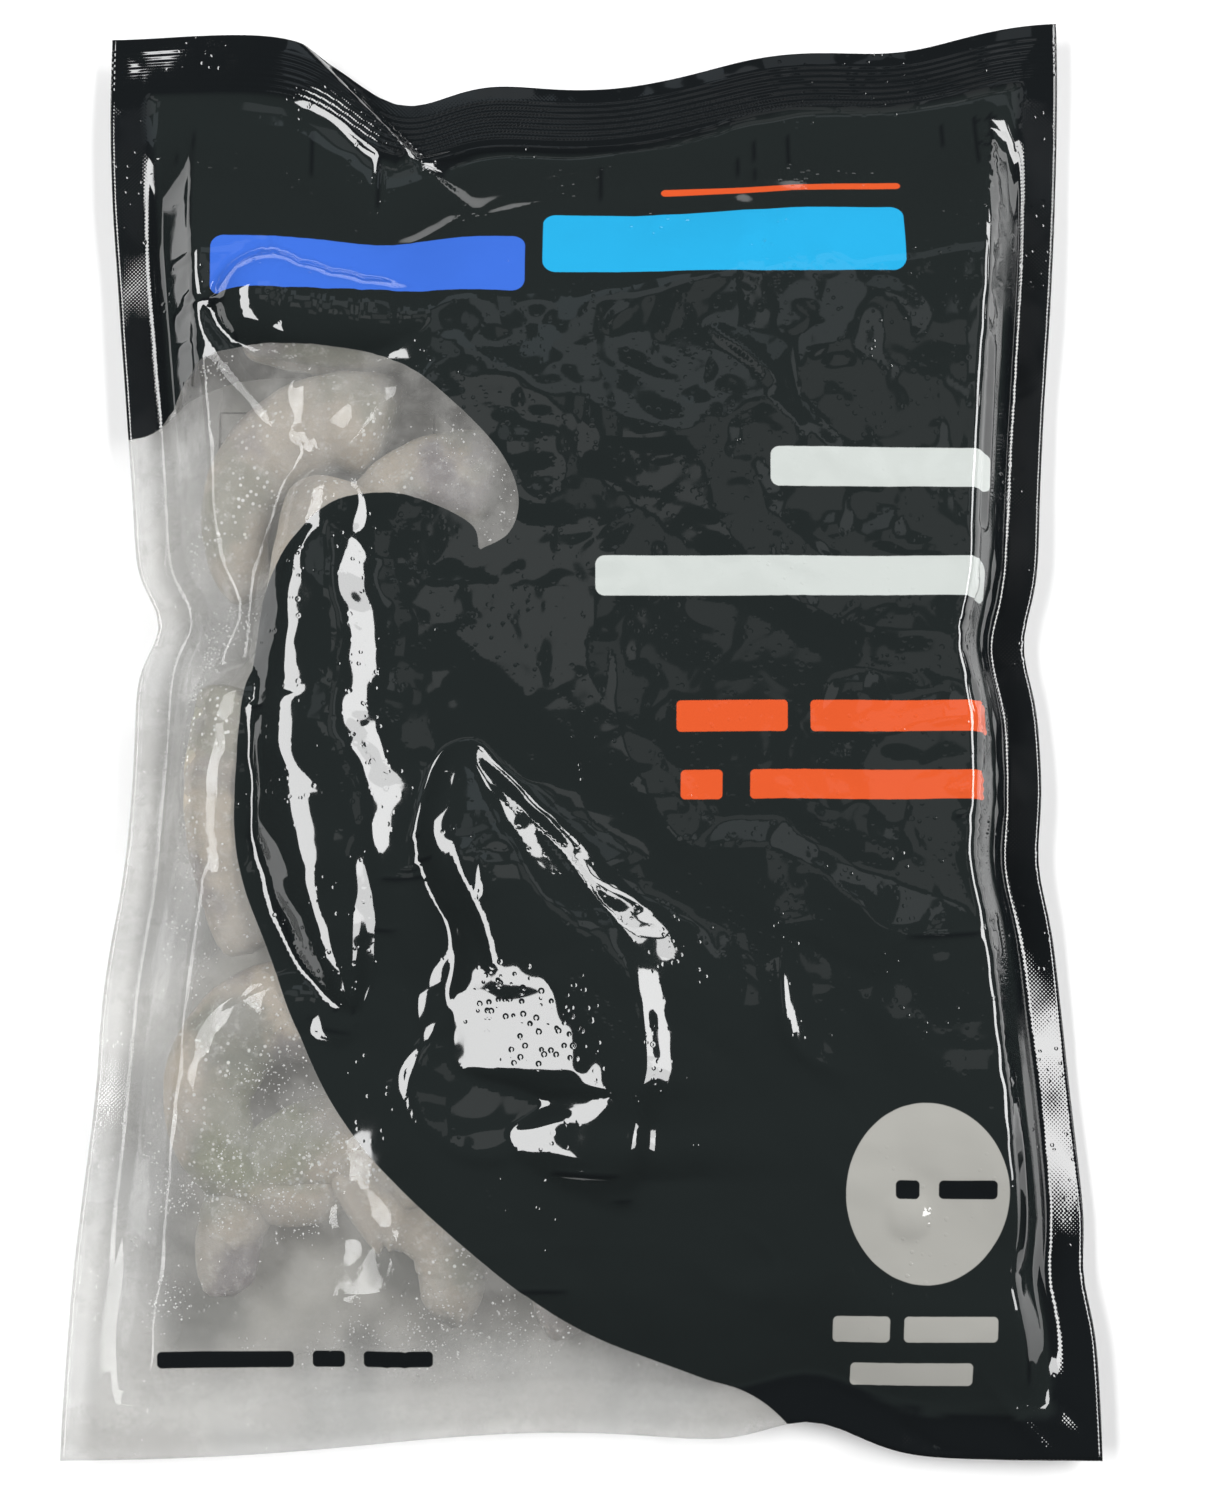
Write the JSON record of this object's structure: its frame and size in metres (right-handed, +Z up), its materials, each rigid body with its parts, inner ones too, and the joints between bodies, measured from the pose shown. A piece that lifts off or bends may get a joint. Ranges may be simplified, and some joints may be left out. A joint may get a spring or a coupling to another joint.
{
  "type": "pouch of frozen king prawns",
  "caption": "Sealed flat film pouch of frozen peeled king prawns, lying on its back, dark printed film with a curved clear window.",
  "frame": {"origin": "on the table below the middle of the lying pouch, at the centre of its bounding box's base", "axes": "+Z up out of the printed side, +Y along the pouch towards its crimped top seal, +X across it to the right"},
  "size_m": [0.225, 0.3316, 0.0305],
  "materials": {
    "pouch_film": "glossy laminated film, near-black print with a hazy clear window"
  },
  "bodies": {
    "root": {"prawn_pouch": "pouch_film"}
  },
  "joints": []
}
